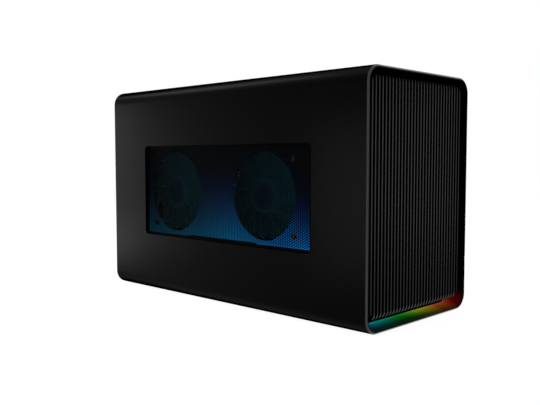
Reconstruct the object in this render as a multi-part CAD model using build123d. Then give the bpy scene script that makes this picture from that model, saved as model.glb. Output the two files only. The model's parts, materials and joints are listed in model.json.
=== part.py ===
from build123d import *
import os
from dataclasses import dataclass
from math import cos, hypot, radians, sin, sqrt

# External graphics card enclosure: a rounded aluminium sleeve with side windows and a finned front,
# and a tray that slides out of its rear with the power supply, the riser board and a graphics card.
# Frame: origin on the floor under the centre, +X right, +Y towards the rear, +Z up. Millimetres.

# Clearances and margins
OVER = 1.0             # how far a cutting body runs past the face that it cuts
FIT_CLEAR = 0.1        # between pieces that are fixed in each other
RUN_CLEAR = 0.05       # between a turning pin and its bore
SLIDE_CLEAR = 0.2      # between the tray and its runners
SIDE_CLEAR = 0.3       # beside a piece that turns
PORT_CLEAR = 0.3       # around a socket that reaches through a panel
PANEL_CLEAR = 1.0      # around the rear panel, inside the sleeve
PRESS_CLEAR = 0.025    # between a pressed pin and its hole
LEFT, RIGHT = -1, 1

# Sleeve
LENGTH = 374.0
WIDTH = 168.0
HEIGHT = 231.0         # floor to top
FOOT_H = 1.5
WALL = 2.5
CORNER_R = 15.0
RIM_CHAMFER = 1.4

# Side windows and their mesh
WINDOW_L = 250.0
WINDOW_H = 100.0
WINDOW_R = 5.0
MESH_T = 0.8
MESH_LAP = 6.0         # mesh sheet behind the wall around the window
MESH_COLUMNS = 18
MESH_ROWS = 6
MESH_PITCH = 15.5
MESH_BAR = 2.0

# Finned front
FIN_COUNT = 30
FIN_PITCH = 5.05
FIN_T = 1.5
FIN_DEPTH = 12.0
FIN_SETBACK = 3.4      # fin fronts behind the sleeve's rim
FIN_NOSE_R = 6.0
FIN_ROOT = 3.0         # depth of fin that the skirt holds
FIN_GAP_TOP = 2.4
FIN_GAP_BOTTOM = 8.0
FIN_BLOCK_R = 10.5
SKIRT_T = 2.0
SKIRT_L = 7.6          # from the back of the fins to the flange
FLANGE_T = 3.0
BAR_COUNT = 4
BAR_T = 3.0

# Front light
GUIDE_T = 1.2
GUIDE_SETBACK = 1.0
GUIDE_RISE = 15.0      # how far the guide climbs the lower corners
LIGHT_BOARD_L = 130.0
LIGHT_BOARD_H = 7.0
BOARD_T = 1.6
LED_T = 1.2
LED_W = 3.5
LED_H = 3.0
FRONT_LED_COUNT = 12

# Feet and runners
FOOT_L = 320.0
FOOT_W = 12.0
FOOT_X = 50.0
RUNNER_X = 60.0
RUNNER_W = 12.0
RUNNER_H = 1.8
RUNNER_FRONT_GAP = 3.7 # from the bulkhead to the runners

# Tray
SHEET = 1.2
REAR_RECESS = 13.0     # rear panel behind the sleeve's rear rim
PANEL_T = 1.5
TRAY_SIDE_GAP = 7.5    # between the tray's side walls and the sleeve
LIP_SIDE_GAP = 2.5     # between the light ledge and the sleeve
LIP_DROP = 10.5        # light ledge below the window
TRAY_WALL_H = 20.0
WALL_END_GAP = 4.0     # side walls stop short of the end sheets
BULKHEAD_GAP = 28.8    # from the front flange to the bulkhead
BULKHEAD_TOP_GAP = 3.5
BULKHEAD_FOOT = 14.0
BULKHEAD_FOOT_INSET = 2.2
SHELF_H = 32.0         # above the tray's floor
SHELF_FRONT_GAP = 70.0
SHELF_REAR_GAP = 2.5

# Riser board
STANDOFF_H = 6.0
STANDOFF_R = 3.0
BOARD_EDGE = 6.0       # board edge inside the tray's side wall
BOARD_REAR_GAP = 4.5
BOARD_L = 228.0
WING_L = 58.0          # rear part of the board, under the power supply
TONGUE_L = 85.0        # front part of the board, beside the card slot
TONGUE_W = 20.0
SCREW_INSET = 6.0
SCREW_REAR_INSET = 16.0
SCREW_R = 1.5
HEAD_R = 2.8
HEAD_H = 2.0
SCREW_BITE = 5.0
SLOT_W = 7.5
SLOT_L = 89.0
SLOT_H = 11.2
SLOT_FLOOR = 2.6
SLOT_INSET = 99.2      # centre of the card slot from the card's bracket
EAR_L = 9.0
EAR_T = 1.5
LATCH_PIN_R = 1.0
LATCH_KNUCKLE_R = 3.0
LATCH_ARM_L = 13.0
LATCH_ARM_T = 3.0
SINK_L = 40.0
SINK_W = 28.0
SINK_H = 13.0
SINK_X = 36.0
SINK_FINS = 9
SINK_FIN_T = 1.2
SINK_BASE = 3.0
SOCKET_W = 10.0
SOCKET_L = 18.0
SOCKET_H = 12.0
SOCKET_LIP = 1.2
SOCKET_DEEP = 5.0

# Rear sockets, by their outer sizes
PORT_PROUD = 0.5
HOST_X = 0.0
HOST_W = 9.0
HOST_H = 3.3
HOST_L = 8.5
HOST_WALL = 0.4
HOST_TONGUE_W = 6.0
NETWORK_X = 16.0
NETWORK_W = 16.0
NETWORK_H = 13.4
NETWORK_L = 20.0
NETWORK_MOUTH_W = 11.8
NETWORK_MOUTH_H = 8.4
NETWORK_MOUTH_RISE = 1.0
NETWORK_STEP_H = 2.0
NETWORK_DEEP = 14.0
DATA_X = 36.0
DATA_STEP = 18.0
DATA_STACKS = 2
DATA_W = 14.0
DATA_H = 15.6
DATA_L = 17.0
DATA_MOUTH_W = 12.4
DATA_MOUTH_H = 5.2
DATA_MOUTH_Z = (4.2, 11.4)
DATA_DEEP = 10.0
TONGUE_T = 1.6

# Power supply
PSU_W = 86.0           # across the enclosure
PSU_L = 140.0          # along it
PSU_H = 150.0
PSU_WALL = 1.0
PSU_SIDE_GAP = 4.5     # to the sleeve's right wall
PSU_LIFT = 17.0        # above the riser board
PSU_FRAME = 7.0        # panel that overlaps the supply's rear edge
PSU_SCREW_INSET = 4.0
VENT_PITCH = 9.0
VENT_BAR = 1.5
VENT_COLUMNS = 9
VENT_ROWS = 8
VENT_DROP = 42.0       # vent centre below the supply's top
INLET_X = 24.0         # from the supply's left side
INLET_RISE = 30.0      # from the supply's bottom
INLET_W = 27.0
INLET_H = 19.6
INLET_L = 20.0
INLET_RIM = 2.0
INLET_MOUTH_W = 24.0
INLET_MOUTH_H = 16.4
INLET_DEEP = 17.0
INLET_PIN_W = 2.0
INLET_PIN_H = 4.0
INLET_PIN_L = 12.0
INLET_PIN_STEP = 7.0
INLET_PIN_RISE = 2.0
SWITCH_X = 50.0
SWITCH_W = 12.8
SWITCH_H = 19.6
SWITCH_L = 12.0
SWITCH_RIM = 1.5
SWITCH_MOUTH_W = 10.4
SWITCH_MOUTH_H = 16.6
SWITCH_DEEP = 11.0
ROCKER_HALF = 7.0
ROCKER_PIVOT = 5.5     # pivot behind the switch's face
ROCKER_PIN_R = 1.2
ROCKER_TOP = 6.5
ROCKER_WAIST = 4.4
ROCKER_KEEL = 3.0
ROCKER_TILT = 8.0
CRADLE_L = 50.0
CRADLE_INSET = 37.5    # cradle's middle from the supply's front
CRADLE_SIDE_GAP = 5.0
CIRCUIT_FOOT = 2.0     # circuit board off the case's wall
CIRCUIT_FRONT_GAP = 10.0
CIRCUIT_EDGE = 4.0
PILLAR_W = 6.0
COIL_L = 30.0
COIL_H = 34.0
COIL_RISE = 35.0
COIL_SPOTS = ((8.0, 12.0), (60.0, 90.0))
CAN_R = 9.0
CAN_RISE = 41.0
CAN_SPOTS = ((60.0, 30.0), (82.0, 30.0))

# Graphics card
CARD_FACE_GAP = 13.5   # shroud face to the sleeve's left wall
CARD_DEPTH = 44.0      # shroud face to the back of the card's board
CARD_REAR_L = 281.7    # card board, from the bracket forwards
CARD_EDGE_GAP = 2.0    # board edge above the slot
CARD_H = 111.0
FINGER_GAP = 0.1
FINGER_END = 2.0
KEY_W = 1.6
KEY_Y = 11.5           # key from the slot's rear end
SHROUD_LEAD = 8.0      # shroud ahead of the card's board
SHROUD_L = 268.0
SHROUD_H = 107.5
SHROUD_T = 2.0
SHROUD_WALL = 1.6
SHROUD_DEPTH = 28.0
SHROUD_R = 4.0
NOTCH_INSET = 70.0     # notch from the front of the card's board
NOTCH_L = 111.0
NOTCH_H = 6.5
CARD_FAN_INSETS = (199.0, 61.0)
CARD_FAN_DROP = 1.0    # fan centres below the window's centre
CARD_FAN_GAP = 1.5     # between blade tips and the shroud's opening
LIP_W = 2.5
LIP_H = 1.2
HUB_SETBACK = 0.5
POST_INSETS = (19.5, 233.0)
POST_SPAN_H = 74.0
POST_R = 3.5
CARD_ARM_COUNT = 3
CARD_ARM_W = 6.0
CARD_ARM_R = 48.5
CARD_PAD_R = 3.0
COOLER_GAP = 1.0       # cooler behind the fan bases
COOLER_BASE_T = 3.0
COOLER_AIR = 1.4       # cooler base above the card's board
COOLER_FINS = 41
COOLER_PITCH = 6.0
COOLER_FIN_T = 0.8
COOLER_H = 88.0
CHIP_W = 40.0
BACKPLATE_GAP = 2.4
BACKPLATE_T = 1.2
BACKPLATE_INSET = 2.0
BRACKET_T = 0.8
BRACKET_H = 112.0
BRACKET_DROP = 2.0     # bracket below the card's board edge
BAY_PITCH = 20.32      # card slots side by side
BAY_W = 12.5
BAY_H = 98.0
BAY_RISE = 4.0
BAY_COUNT = 3
BAY_OFFSET = 4.2       # first slot from the card's board
BRACKET_EDGE = 9.2
THUMB_R = 4.5
THUMB_H = 5.0
THUMB_DROP = 4.0
THUMB_TIP = 1.0
DISPLAY_COUNT = 4
DISPLAY_STEP = 22.0
DISPLAY_RISE = 16.0
DISPLAY_W = 8.0
DISPLAY_H = 17.0
DISPLAY_L = 18.0
DISPLAY_MOUTH_W = 5.0
DISPLAY_MOUTH_H = 14.6
DISPLAY_DEEP = 8.0
CARD_SOCKET_INSET = 46.0
CARD_SOCKET_L = 22.0
CARD_SOCKET_W = 12.0
CARD_SOCKET_H = 12.0
CARD_SOCKET_LAP = 6.0

# Square fans
FAN_SIDE = 120.0
FAN_DEPTH = 25.0
FAN_BORE_GAP = 1.5
FAN_HOLE_SPAN = 105.0
FAN_HOLE_R = 2.1
FAN_CORNER_R = 6.0
STRUT_W = 6.0
STRUT_COUNT = 4
GRID_R = 55.0
GRID_PITCH = 11.0
GRID_BAR = 2.0
TUBE_GAP = 1.0         # bearing tube below the hub's cap
BLADE_ROOT = 0.8       # share of the hub's wall that a blade goes into

# Handle
HANDLE_HALF = 50.0
HANDLE_DROP = 23.0     # pivot to the middle of the bar
HANDLE_R = 4.0
HANDLE_BEND = 10.0
HANDLE_RISE = 29.0     # pivot above the tray's floor
HANDLE_STANDOFF = 6.0  # pivot behind the rear panel
EYE_R = 5.5
EYE_W = 8.6
PIN_R = 2.0
PIN_HEAD_R = 3.4
PIN_HEAD_H = 1.5
LUG_T = 1.5
LUG_R = 4.0
LUG_BASE_W = 12.0
LUG_BASE_H = 18.0
PANEL_SCREW_X = 66.0
PANEL_SCREW_RISE = 10.0


@dataclass(frozen=True)
class Fan:
    """Sizes of a bladed rotor and the motor base that carries its shaft."""
    tip_r: float
    hub_r: float
    cup_h: float
    blades: int
    blade_t: float
    root_chord: float
    tip_chord: float
    root_pitch: float
    tip_pitch: float
    skew: float
    cup_t: float
    cap_t: float
    shaft_r: float
    tube_r: float
    base_gap: float
    base_t: float
    dish_r: float
    dish_t: float


CARD_FAN = Fan(tip_r=43.0, hub_r=17.0, cup_h=11.0, blades=11, blade_t=1.2, root_chord=12.0, tip_chord=25.5,
               root_pitch=48.0, tip_pitch=22.0, skew=12.0, cup_t=2.0, cap_t=1.8, shaft_r=1.5, tube_r=4.0,
               base_gap=2.0, base_t=2.0, dish_r=13.0, dish_t=0.5)
SQUARE_FAN = Fan(tip_r=56.5, hub_r=20.0, cup_h=18.0, blades=9, blade_t=1.6, root_chord=17.0, tip_chord=33.0,
                 root_pitch=50.0, tip_pitch=26.0, skew=14.0, cup_t=2.2, cap_t=2.0, shaft_r=1.5, tube_r=4.5,
                 base_gap=1.5, base_t=3.0, dish_r=16.0, dish_t=0.5)

# Planes and levels that follow from the sizes above
FRONT, REAR, SIDE = -LENGTH / 2, LENGTH / 2, WIDTH / 2
SLEEVE_H = HEIGHT - FOOT_H
MID_Z = FOOT_H + SLEEVE_H / 2
INNER_X = SIDE - WALL
INNER_BOTTOM = FOOT_H + WALL
INNER_TOP = HEIGHT - WALL
FIN_FRONT = FRONT + FIN_SETBACK
FIN_BACK = FIN_FRONT + FIN_DEPTH
FLANGE_FRONT = FIN_BACK + SKIRT_L
FLANGE_BACK = FLANGE_FRONT + FLANGE_T
FIN_HALF = (FIN_COUNT - 1) * FIN_PITCH / 2 + FIN_T / 2
FIN_BOTTOM = INNER_BOTTOM + FIN_GAP_BOTTOM
FIN_TOP = INNER_TOP - FIN_GAP_TOP
FIN_MID_Z = (FIN_BOTTOM + FIN_TOP) / 2
TRAY_BOTTOM = INNER_BOTTOM + RUNNER_H + SLIDE_CLEAR
TRAY_TOP = TRAY_BOTTOM + SHEET
TRAY_HALF = INNER_X - TRAY_SIDE_GAP
PANEL_BACK = REAR - REAR_RECESS
PANEL_FRONT = PANEL_BACK - PANEL_T
BULKHEAD_BACK = FLANGE_BACK + BULKHEAD_GAP
BULKHEAD_FRONT = BULKHEAD_BACK - SHEET
LIP_Z = MID_Z - WINDOW_H / 2 - LIP_DROP
SHELF_TOP = TRAY_TOP + SHELF_H
SHELF_FRONT = BULKHEAD_BACK + SHELF_FRONT_GAP
SHELF_REAR = PANEL_FRONT - SHELF_REAR_GAP
SHELF_HALF = TRAY_HALF - SHEET - FIT_CLEAR
BOARD_BOTTOM = SHELF_TOP + STANDOFF_H
BOARD_TOP = BOARD_BOTTOM + BOARD_T
BOARD_HALF = TRAY_HALF - BOARD_EDGE
BOARD_REAR = PANEL_FRONT - BOARD_REAR_GAP
BOARD_FRONT = BOARD_REAR - BOARD_L
PORT_FACE = PANEL_BACK + PORT_PROUD
PSU_RIGHT = INNER_X - PSU_SIDE_GAP
PSU_LEFT = PSU_RIGHT - PSU_W
PSU_REAR = PANEL_FRONT
PSU_FRONT = PSU_REAR - PSU_L
PSU_BOTTOM = BOARD_TOP + PSU_LIFT
PSU_TOP = PSU_BOTTOM + PSU_H
PSU_MID_Y = (PSU_FRONT + PSU_REAR) / 2
PSU_MID_Z = (PSU_BOTTOM + PSU_TOP) / 2
CRADLE_Y = PSU_FRONT + CRADLE_INSET
INLET_Z = PSU_BOTTOM + INLET_RISE
CARD_FACE = CARD_FACE_GAP - INNER_X
CARD_BACK = CARD_FACE + CARD_DEPTH
CARD_PART = CARD_BACK - BOARD_T
CARD_MID = CARD_BACK - BOARD_T / 2
CARD_BOTTOM = BOARD_TOP + SLOT_H + CARD_EDGE_GAP
CARD_TOP = CARD_BOTTOM + CARD_H
BRACKET_FRONT = PANEL_FRONT - BRACKET_T
CARD_FRONT = BRACKET_FRONT - CARD_REAR_L
SLOT_Y = BRACKET_FRONT - SLOT_INSET
SHROUD_FRONT = CARD_FRONT - SHROUD_LEAD
SHROUD_REAR = SHROUD_FRONT + SHROUD_L
NOTCH_FRONT = CARD_FRONT + NOTCH_INSET
CARD_FAN_Y = [CARD_FRONT + inset for inset in CARD_FAN_INSETS]
POST_Y = [CARD_FRONT + inset for inset in POST_INSETS]
CARD_SOCKET_Y = CARD_FRONT + CARD_SOCKET_INSET
FAN_Z = MID_Z - CARD_FAN_DROP
SHROUD_BOTTOM = FAN_Z - SHROUD_H / 2
SHROUD_INNER = CARD_FACE + SHROUD_T
CARD_FAN_X = CARD_FACE + HUB_SETBACK + CARD_FAN.cup_h
CARD_FAN_BACK = CARD_FAN_X + CARD_FAN.base_gap + CARD_FAN.base_t
COOLER_FACE = CARD_FAN_BACK + COOLER_GAP
COOLER_BACK = CARD_PART - COOLER_AIR
BAY_X = [CARD_BACK - BAY_OFFSET - BAY_PITCH * bay for bay in range(BAY_COUNT)]
BRACKET_BOTTOM = CARD_BOTTOM - BRACKET_DROP
THUMB_Z = BRACKET_BOTTOM + BRACKET_H - THUMB_DROP
HANDLE_Y = PANEL_BACK + HANDLE_STANDOFF
HANDLE_Z = TRAY_TOP + HANDLE_RISE
LUG_X = HANDLE_HALF + EYE_W / 2 + SIDE_CLEAR


def block(x0, x1, y0, y1, z0, z1):
    """A box between two opposite corners."""
    return Pos((x0 + x1) / 2, (y0 + y1) / 2, (z0 + z1) / 2) * Box(x1 - x0, y1 - y0, z1 - z0)


def prism_x(sketch, x0, x1):
    """A sketch drawn in Y and Z, carried along X."""
    return extrude(Plane.YZ.offset(x0) * sketch, amount=x1 - x0)


def prism_y(sketch, y0, y1):
    """A sketch drawn in X and Z, carried along Y."""
    return extrude(Plane.XZ.offset(-y0) * sketch, amount=y0 - y1)


def prism_z(sketch, z0, z1):
    """A sketch drawn in X and Y, carried along Z."""
    return extrude(Plane.XY.offset(z0) * sketch, amount=z1 - z0)


def disc(radius, z0, z1):
    """A round body on the Z axis."""
    return Pos(0, 0, (z0 + z1) / 2) * Cylinder(radius, z1 - z0)


def screw(plane, length, radius=SCREW_R, head_r=HEAD_R, head_h=HEAD_H):
    """A pan-head screw whose head stands on the plane and whose shank goes in below it."""
    return plane * (disc(head_r, 0, head_h) + disc(radius, -length, head_h / 2))


def honeycomb(columns, rows, pitch, bar, reach=None):
    """Hexagons in staggered columns, flats up, all of them or those within reach of the centre."""
    cell = RegularPolygon((pitch - bar) / 2, 6, major_radius=False)
    cells = []
    for column in range(columns):
        u = (column - (columns - 1) / 2) * pitch * sqrt(3) / 2
        shift = pitch / 4 if column % 2 else -pitch / 4
        for row in range(rows):
            v = (row - (rows - 1) / 2) * pitch + shift
            if reach is None or hypot(u, v) + pitch / 2 <= reach:
                cells.append(Pos(u, v) * cell)
    return Sketch() + cells


def rounded(width, height, radius, u=0.0, v=0.0):
    """A rounded rectangle about a centre."""
    return Pos(u, v) * RectangleRounded(width, height, radius)


def sleeve_outline(inset):
    """Cross-section of the sleeve, drawn in by an inset."""
    return rounded(WIDTH - 2 * inset, SLEEVE_H - 2 * inset, CORNER_R - inset, 0, MID_Z)


def window_outline(margin):
    """Outline of a side window, grown by a margin."""
    return rounded(WINDOW_L + 2 * margin, WINDOW_H + 2 * margin, WINDOW_R + margin, 0, MID_Z)


def outer_sleeve():
    bore = prism_y(sleeve_outline(WALL), FRONT - OVER, REAR + OVER)
    shell = prism_y(sleeve_outline(0), FRONT, REAR) - bore
    ends = shell.faces().sort_by(Axis.Y)
    rims = ends[0].outer_wire().edges() + ends[-1].outer_wire().edges()
    shell = chamfer(rims, RIM_CHAMFER)
    return shell - prism_x(window_outline(0), -SIDE - OVER, SIDE + OVER)


def mesh_panel(side):
    """Perforated sheet on the inside of a side window."""
    x0, x1 = sorted((side * INNER_X, side * (INNER_X - MESH_T)))
    holes = Pos(0, MID_Z) * honeycomb(MESH_COLUMNS, MESH_ROWS, MESH_PITCH, MESH_BAR)
    return prism_x(window_outline(MESH_LAP), x0, x1) - prism_x(holes, x0 - OVER, x1 + OVER)


def fin_outline(inset):
    """Outline of the fin block seen from the front."""
    height = FIN_TOP - FIN_BOTTOM - 2 * inset
    return rounded(2 * (FIN_HALF - inset), height, FIN_BLOCK_R - inset, 0, FIN_MID_Z)


def fins():
    """The row of upright fins, with noses rounded at the top and the bottom."""
    depth = FIN_DEPTH + 2 * FIN_NOSE_R
    nose = rounded(depth, FIN_TOP - FIN_BOTTOM, FIN_NOSE_R, FIN_FRONT + depth / 2, FIN_MID_Z)
    body = prism_y(fin_outline(0), FIN_FRONT, FIN_BACK) & prism_x(nose, -FIN_HALF - OVER, FIN_HALF + OVER)
    comb = []
    for index in range(FIN_COUNT):
        x = (index - (FIN_COUNT - 1) / 2) * FIN_PITCH
        comb.append(block(x - FIN_T / 2, x + FIN_T / 2, FIN_FRONT - OVER, FIN_BACK + OVER,
                          FIN_BOTTOM - OVER, FIN_TOP + OVER))
    return body & (Part() + comb)


def front_grille():
    opening = prism_y(fin_outline(SKIRT_T), FIN_FRONT, FLANGE_BACK + OVER)
    skirt = prism_y(fin_outline(0), FIN_BACK - FIN_ROOT, FLANGE_BACK)
    flange = prism_y(sleeve_outline(WALL + FIT_CLEAR), FLANGE_FRONT, FLANGE_BACK)
    frame = skirt + flange - opening
    reach = FIN_HALF - SKIRT_T / 2
    step = (FIN_TOP - FIN_BOTTOM) / (BAR_COUNT + 1)
    bars = []
    for index in range(BAR_COUNT):
        z = FIN_BOTTOM + step * (index + 1)
        bars.append(block(-reach, reach, FIN_BACK - BAR_T, FIN_BACK, z - BAR_T / 2, z + BAR_T / 2))
    return frame + bars + fins()


def light_guide():
    """Clear strip in the bottom of the front recess, bent up into both lower corners."""
    y0 = FRONT + GUIDE_SETBACK
    y1 = FLANGE_FRONT - BOARD_T - LED_T - FIT_CLEAR
    outer = prism_y(sleeve_outline(WALL + FIT_CLEAR), y0, y1)
    inner = prism_y(sleeve_outline(WALL + FIT_CLEAR + GUIDE_T), y0 - OVER, y1 + OVER)
    return (outer - inner) & block(-SIDE, SIDE, y0, y1, FOOT_H, INNER_BOTTOM + GUIDE_RISE)


def light_board():
    """Strip of lamps behind the light guide."""
    back = FLANGE_FRONT
    z = INNER_BOTTOM + FIT_CLEAR
    face = back - BOARD_T
    board = block(-LIGHT_BOARD_L / 2, LIGHT_BOARD_L / 2, face, back, z, z + LIGHT_BOARD_H)
    step = LIGHT_BOARD_L / FRONT_LED_COUNT
    lamps = []
    for index in range(FRONT_LED_COUNT):
        x = (index - (FRONT_LED_COUNT - 1) / 2) * step
        lamps.append(block(x - LED_W / 2, x + LED_W / 2, face - LED_T, face, z, z + LED_H))
    return board + lamps


def foot(side):
    return prism_z(Pos(side * FOOT_X, 0) * SlotOverall(FOOT_L, FOOT_W, rotation=90), 0, FOOT_H)


def runner(side):
    """Low strip on the sleeve's floor that the tray slides on."""
    x, half = side * RUNNER_X, RUNNER_W / 2
    y0, y1 = BULKHEAD_BACK + RUNNER_FRONT_GAP, PANEL_FRONT - PANEL_CLEAR
    return block(x - half, x + half, y0, y1, INNER_BOTTOM, INNER_BOTTOM + RUNNER_H)


def panel_screw_planes():
    z = TRAY_TOP + PANEL_SCREW_RISE
    return [Plane((side * PANEL_SCREW_X, PANEL_BACK, z), z_dir=(0, 1, 0)) for side in (LEFT, RIGHT)]


def tray_floor():
    """Folded sheet: floor, side walls, the ledge under the left window and a rear flange."""
    y0, y1 = BULKHEAD_BACK + WALL_END_GAP, PANEL_FRONT - WALL_END_GAP
    floor = block(-TRAY_HALF, TRAY_HALF, BULKHEAD_FRONT, PANEL_FRONT, TRAY_BOTTOM, TRAY_TOP)
    left = block(-TRAY_HALF, SHEET - TRAY_HALF, y0, y1, TRAY_BOTTOM, LIP_Z)
    ledge = block(LIP_SIDE_GAP - INNER_X, SHEET - TRAY_HALF, y0, y1, LIP_Z - SHEET, LIP_Z)
    top = TRAY_TOP + TRAY_WALL_H
    right = block(TRAY_HALF - SHEET, TRAY_HALF, y0, y1, TRAY_BOTTOM, top)
    rear = block(-TRAY_HALF, TRAY_HALF, PANEL_FRONT - SHEET, PANEL_FRONT, TRAY_BOTTOM, top)
    holes = [plane * disc(SCREW_R + FIT_CLEAR, -SCREW_BITE, OVER) for plane in panel_screw_planes()]
    return floor + left + ledge + right + rear - holes


def panel_screws():
    return Compound([screw(plane, SCREW_BITE) for plane in panel_screw_planes()])


def side_light_strip():
    """Strip of lamps on the ledge under the left window, shining up at the card."""
    x0, x1 = LIP_SIDE_GAP - INNER_X, SHEET - TRAY_HALF
    board = block(x0, x1, -WINDOW_L / 2, WINDOW_L / 2, LIP_Z, LIP_Z + BOARD_T)
    mid = (x0 + x1) / 2
    count = int(WINDOW_L / LIGHT_BOARD_L * FRONT_LED_COUNT)
    lamps = []
    for index in range(count):
        y = (index - (count - 1) / 2) * WINDOW_L / count
        lamps.append(block(mid - LED_W / 2, mid + LED_W / 2, y - LED_W / 2, y + LED_W / 2,
                           LIP_Z + BOARD_T, LIP_Z + BOARD_T + LED_T))
    return board + lamps


def fan_hole_spots():
    """Corner holes of a square fan, about its axis."""
    half = FAN_HOLE_SPAN / 2
    return [(u, v) for u in (-half, half) for v in (-half, half)]


def fan_screw_planes():
    return [Plane((x, BULKHEAD_BACK, MID_Z + z), z_dir=(0, 1, 0)) for x, z in fan_hole_spots()]


def fan_grid():
    """Round field of air holes in front of a square fan."""
    count = int(2 * GRID_R / GRID_PITCH)
    return honeycomb(count + 2, count + 1, GRID_PITCH, GRID_BAR, GRID_R)


def front_bulkhead():
    """Upright sheet at the tray's front end, with air holes for the front fan."""
    top = INNER_TOP - BULKHEAD_TOP_GAP
    sheet = block(-TRAY_HALF, TRAY_HALF, BULKHEAD_FRONT, BULKHEAD_BACK, TRAY_TOP, top)
    half = TRAY_HALF - BULKHEAD_FOOT_INSET
    fold = block(-half, half, BULKHEAD_FRONT, BULKHEAD_BACK + BULKHEAD_FOOT, TRAY_TOP, TRAY_TOP + SHEET)
    air = prism_y(Pos(0, MID_Z) * fan_grid(), BULKHEAD_FRONT - OVER, BULKHEAD_BACK + OVER)
    holes = [plane * disc(FAN_HOLE_R + FIT_CLEAR, -OVER - SHEET, OVER) for plane in fan_screw_planes()]
    return sheet + fold - air - holes


def front_fan_screws():
    bite, radius, head_r = SCREW_BITE + SHEET, FAN_HOLE_R - FIT_CLEAR, FAN_HOLE_R + SCREW_R
    return Compound([screw(plane, bite, radius, head_r) for plane in fan_screw_planes()])


def board_shelf():
    """Bridge on the tray's floor that carries the riser board and the power supply's cradle."""
    top = block(-SHELF_HALF, SHELF_HALF, SHELF_FRONT, SHELF_REAR, SHELF_TOP - SHEET, SHELF_TOP)
    legs = [block(x, x + SHEET, SHELF_FRONT, SHELF_REAR, TRAY_TOP, SHELF_TOP)
            for x in (-SHELF_HALF, SHELF_HALF - SHEET)]
    hole = disc(SCREW_R + FIT_CLEAR, -SCREW_BITE - STANDOFF_H, OVER)
    return top + legs - [plane * hole for plane in board_screw_planes()]


def board_notch_x():
    """Left side of the cut-out that leaves room for the power supply's cradle."""
    return PSU_LEFT + CRADLE_SIDE_GAP / 2


def board_screw_planes():
    x0, x1 = -BOARD_HALF + SCREW_INSET, BOARD_HALF - SCREW_INSET
    y0, y1 = BOARD_FRONT + SCREW_INSET, BOARD_REAR - SCREW_REAR_INSET
    xm = board_notch_x() - SCREW_INSET
    wing = BOARD_REAR - WING_L + SCREW_INSET
    spots = [(x0, y0), (xm, y0), (x0, y1), (x0, SLOT_Y), (xm, SLOT_Y), (x1, wing), (x1, y1)]
    return [Plane((x, y, BOARD_TOP), z_dir=(0, 0, 1)) for x, y in spots]


def main_board():
    """Riser board: a strip under the card and a wing with the rear sockets."""
    strip = block(-BOARD_HALF, board_notch_x(), BOARD_FRONT, BOARD_REAR, BOARD_BOTTOM, BOARD_TOP)
    tongue = block(-BOARD_HALF, board_notch_x() + TONGUE_W, BOARD_FRONT, BOARD_FRONT + TONGUE_L,
                   BOARD_BOTTOM, BOARD_TOP)
    wing = block(-BOARD_HALF, BOARD_HALF, BOARD_REAR - WING_L, BOARD_REAR, BOARD_BOTTOM, BOARD_TOP)
    holes = [plane * disc(SCREW_R + FIT_CLEAR, -OVER - BOARD_T, OVER) for plane in board_screw_planes()]
    return strip + tongue + wing - holes


def board_standoffs():
    low, high = SHELF_TOP - BOARD_TOP, BOARD_BOTTOM - BOARD_TOP
    post = disc(STANDOFF_R, low, high) - disc(SCREW_R + RUN_CLEAR, low - OVER, high + OVER)
    return Compound([plane * post for plane in board_screw_planes()])


def board_screws():
    return Compound([screw(plane, SCREW_BITE) for plane in board_screw_planes()])


def slot_ends():
    return SLOT_Y - SLOT_L / 2, SLOT_Y + SLOT_L / 2


def latch_axis():
    """Y and Z of the card latch's pivot."""
    return slot_ends()[0] - EAR_L / 2, BOARD_TOP + EAR_L / 2


def card_slot():
    """Edge socket for the card, with a key rib and two ears for the latch."""
    y0, y1 = slot_ends()
    x0, x1 = CARD_MID - SLOT_W / 2, CARD_MID + SLOT_W / 2
    top = BOARD_TOP + SLOT_H
    half = BOARD_T / 2 + FIT_CLEAR
    end = FINGER_END - FIT_CLEAR
    groove = block(CARD_MID - half, CARD_MID + half, y0 + end, y1 - end, BOARD_TOP + SLOT_FLOOR, top + OVER)
    key = block(x0, x1, y1 - KEY_Y - KEY_W / 2, y1 - KEY_Y + KEY_W / 2, BOARD_TOP, top)
    ears = [block(x, x + EAR_T, y0 - EAR_L, y0, BOARD_TOP, BOARD_TOP + EAR_L) for x in (x0, x1 - EAR_T)]
    y, z = latch_axis()
    bore = prism_x(Pos(y, z) * Circle(LATCH_PIN_R + RUN_CLEAR), x0 - OVER, x1 + OVER)
    return block(x0, x1, y0, y1, BOARD_TOP, top) - groove + key + ears - bore


def slot_latch():
    """Lever on the front end of the card slot, pressed down to let the card go."""
    y, z = latch_axis()
    half = SLOT_W / 2 - EAR_T - SIDE_CLEAR
    pin = prism_x(Pos(y, z) * Circle(LATCH_PIN_R), CARD_MID - SLOT_W / 2, CARD_MID + SLOT_W / 2)
    knuckle = prism_x(Pos(y, z) * Circle(LATCH_KNUCKLE_R), CARD_MID - half, CARD_MID + half)
    arm = block(CARD_MID - half, CARD_MID + half, y - LATCH_ARM_L, y, z, z + LATCH_ARM_T)
    return pin + knuckle + arm


def comb_sink(width, length, height, base, count, fin_t):
    """Cooling body on its base, centred, with fins along Y."""
    pieces = []
    for index in range(count):
        x = (index / (count - 1) - 0.5) * (width - fin_t)
        pieces.append(block(x - fin_t / 2, x + fin_t / 2, -length / 2, length / 2, 0, height))
    return block(-width / 2, width / 2, -length / 2, length / 2, 0, base) + pieces


def controller_heatsink():
    place = Pos(SINK_X, BOARD_REAR - WING_L + SINK_W / 2, BOARD_TOP)
    return place * comb_sink(SINK_L, SINK_W, SINK_H, SINK_BASE, SINK_FINS, SINK_FIN_T)


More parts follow.
